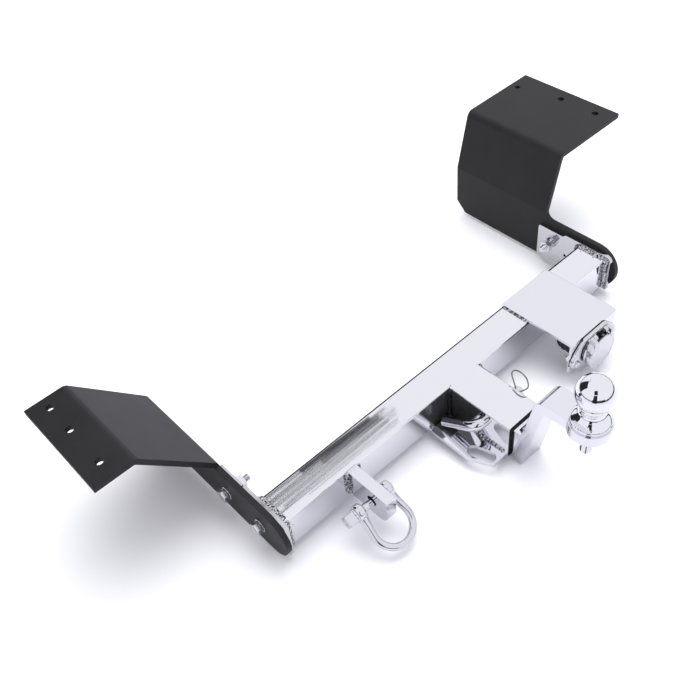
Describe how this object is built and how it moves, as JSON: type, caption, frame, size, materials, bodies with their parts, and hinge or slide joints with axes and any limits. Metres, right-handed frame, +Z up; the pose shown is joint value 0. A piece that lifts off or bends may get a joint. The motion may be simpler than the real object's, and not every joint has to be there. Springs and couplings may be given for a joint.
{
  "type": "trailer hitch",
  "caption": "Chromed receiver hitch bar with ball mount and hitch ball, pinned by a bent pin and clip, with bent side brackets, tow shackle and lidded trailer socket.",
  "frame": {"origin": "crossing of the receiver tube's axis and the cross tube's axis", "axes": "+X along the cross tube to the vehicle's right as the part is drawn, -Y out of the receiver towards the ball, +Z up"},
  "size_m": [0.987, 0.542, 0.2241],
  "materials": {
    "polished_chrome": "polished plating over ground steel",
    "chromed_pin": "bright plating over forged steel",
    "black_powder_coat": "satin powder coat",
    "zinc_fastener": "bright zinc plating",
    "spring_steel": "plain spring steel",
    "weld_metal": "plated weld bead, rippled",
    "cast_alloy": "die cast, bright",
    "grey_plastic": "moulded",
    "black_rubber": "moulded",
    "contact_brass": "turned"
  },
  "bodies": {
    "frame": {"cross_tube": "polished_chrome", "left_end_plate": "polished_chrome", "right_end_plate": "polished_chrome", "left_side_bracket": "black_powder_coat", "right_side_bracket": "black_powder_coat", "bracket_bolts": "zinc_fastener", "bracket_washers": "zinc_fastener", "bracket_spring_washers": "spring_steel", "bracket_nuts": "zinc_fastener", "receiver_tube": "polished_chrome", "chain_plate": "polished_chrome", "ball_mount": "polished_chrome", "hitch_ball": "polished_chrome", "ball_lock_washer": "spring_steel", "ball_nut": "zinc_fastener", "tow_tab": "polished_chrome", "socket_bracket": "polished_chrome", "socket_gasket": "black_rubber", "socket_housing": "cast_alloy", "socket_insert": "grey_plastic", "socket_contacts": "contact_brass", "socket_boot": "black_rubber", "lid_hinge_pin": "spring_steel", "lid_spring": "spring_steel", "socket_screws": "zinc_fastener", "socket_washers": "zinc_fastener", "socket_nuts": "zinc_fastener", "end_weld_beads": "weld_metal", "receiver_weld_beads": "weld_metal", "fitting_weld_beads": "weld_metal", "mount_weld_bead": "weld_metal"},
    "pin": {"hitch_pin": "chromed_pin", "hitch_pin_clip": "spring_steel"},
    "shackle": {"shackle_bow": "chromed_pin"},
    "shackle_screw": {"shackle_pin": "chromed_pin"},
    "lid": {"socket_lid": "cast_alloy", "lid_seal": "black_rubber"}
  },
  "joints": [
    {"name": "hitch_pin_turn", "type": "hinge", "parent": "frame", "child": "pin", "pos_m": [0, -0.088, 0.01], "axis": [1, 0, 0], "range_deg": [0, 230]},
    {"name": "shackle_swing", "type": "hinge", "parent": "frame", "child": "shackle", "pos_m": [-0.22, -0.069, 0.006], "axis": [1, 0, 0], "range_deg": [-165, 100]},
    {"name": "shackle_pin_turn", "type": "hinge", "parent": "shackle", "child": "shackle_screw", "pos_m": [-0.22, -0.069, 0.006], "axis": [1, 0, 0], "continuous": true},
    {"name": "lid_open", "type": "hinge", "parent": "frame", "child": "lid", "pos_m": [0.185, -0.115, 0.033], "axis": [-1, 0, 0], "range_deg": [0, 110], "stiffness_Nm_per_rad": 0.02, "springref_deg": -28.65}
  ]
}
